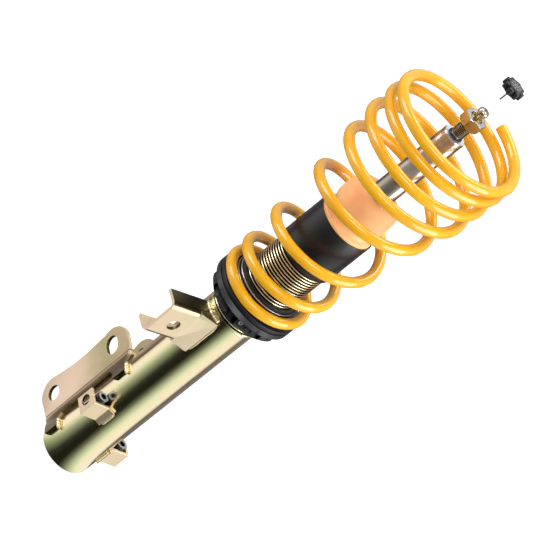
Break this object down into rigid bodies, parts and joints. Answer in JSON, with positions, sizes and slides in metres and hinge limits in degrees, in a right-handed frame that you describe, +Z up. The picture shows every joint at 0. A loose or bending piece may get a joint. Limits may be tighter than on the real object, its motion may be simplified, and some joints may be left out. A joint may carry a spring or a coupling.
{
  "type": "coilover_strut",
  "caption": "Coilover strut: damper tube with clamp arms, threaded perch, progressive coil spring, bump stop and adjustable rod, carries a car's front wheel",
  "frame": {"origin": "centre of the lower knuckle bolt hole, midway between the two arms", "axes": "+Z up the strut to the rod's tip, +X from the bolt hole towards the strut's axis, +Y along the knuckle bolt towards the rear arm"},
  "size_m": [0.1286, 0.1337, 0.5573],
  "materials": {
    "zinc_plate": "yellow zinc plated pressed steel",
    "black_aluminium": "black anodised, turned",
    "black_satin": "satin black paint",
    "bright_steel": "machined steel",
    "hard_chrome": "ground and hard chromed",
    "yellow_paint": "gloss powder coat over wound wire",
    "orange_foam": "microcellular foam, moulded",
    "rubber": "moulded rubber",
    "bronze": "sintered bronze",
    "band_plastic": "filled slide plastic"
  },
  "bodies": {
    "strut": {"strut_tube": "zinc_plate", "threaded_sleeve": "zinc_plate", "knuckle_arm_front": "zinc_plate", "knuckle_arm_rear": "zinc_plate", "knuckle_brace": "zinc_plate", "link_bracket": "zinc_plate", "hose_bracket_front": "zinc_plate", "hose_bracket_rear": "zinc_plate", "hose_grommet_front": "rubber", "hose_grommet_rear": "rubber", "pressure_tube": "bright_steel", "base_valve": "bright_steel", "base_shims": "bright_steel", "rod_guide": "bright_steel", "guide_bush": "bronze", "rod_seal": "rubber", "gland_nut": "bright_steel"},
    "perch": {"slip_washer": "band_plastic", "spring_seat": "black_aluminium", "coil_spring": "yellow_paint"},
    "collar": {"adjuster_collar": "black_aluminium", "collar_set_screw": "bright_steel"},
    "buffer": {"dust_tube": "black_satin", "bump_stop": "orange_foam"},
    "rod_slider": {"piston_band": "band_plastic"},
    "rod": {"piston_rod": "hard_chrome", "top_nut": "zinc_plate", "rebound_stop": "bright_steel", "piston": "bright_steel", "compression_shims": "bright_steel", "rebound_shims": "bright_steel", "piston_nut": "bright_steel"},
    "needle": {"adjuster_needle": "bright_steel"},
    "knob": {"knob": "black_aluminium", "knob_dial": "bright_steel", "knob_pin": "bright_steel"}
  },
  "joints": [
    {"name": "perch_height", "type": "slide", "parent": "strut", "child": "perch", "axis": [0, 0, 1], "range_m": [-0.008, 0.032]},
    {"name": "collar_turn", "type": "hinge", "parent": "perch", "child": "collar", "pos_m": [0.045, 0, 0.228], "axis": [0, 0, 1], "range_deg": [-960, 3840]},
    {"name": "buffer_slide", "type": "slide", "parent": "strut", "child": "buffer", "axis": [0, 0, 1], "range_m": [0, 0.08]},
    {"name": "rod_stroke", "type": "slide", "parent": "strut", "child": "rod_slider", "axis": [0, 0, 1], "range_m": [-0.085, 0], "stiffness_N_per_m": 500, "springref_m": 0.4, "deforming": ["coil_spring"]},
    {"name": "rod_turn", "type": "hinge", "parent": "rod_slider", "child": "rod", "pos_m": [0.045, 0, 0.383], "axis": [0, 0, 1], "continuous": true},
    {"name": "rebound_adjust", "type": "hinge", "parent": "rod", "child": "needle", "pos_m": [0.045, 0, 0.503], "axis": [0, 0, 1], "range_deg": [0, 720]},
    {"name": "knob_plug", "type": "slide", "parent": "needle", "child": "knob", "axis": [0, 0, 1], "range_m": [-0.0265, 0]}
  ],
  "couplings": [
    {"joint": "collar_turn", "follows": "perch_height", "rad_per_m": 2094.4}
  ]
}
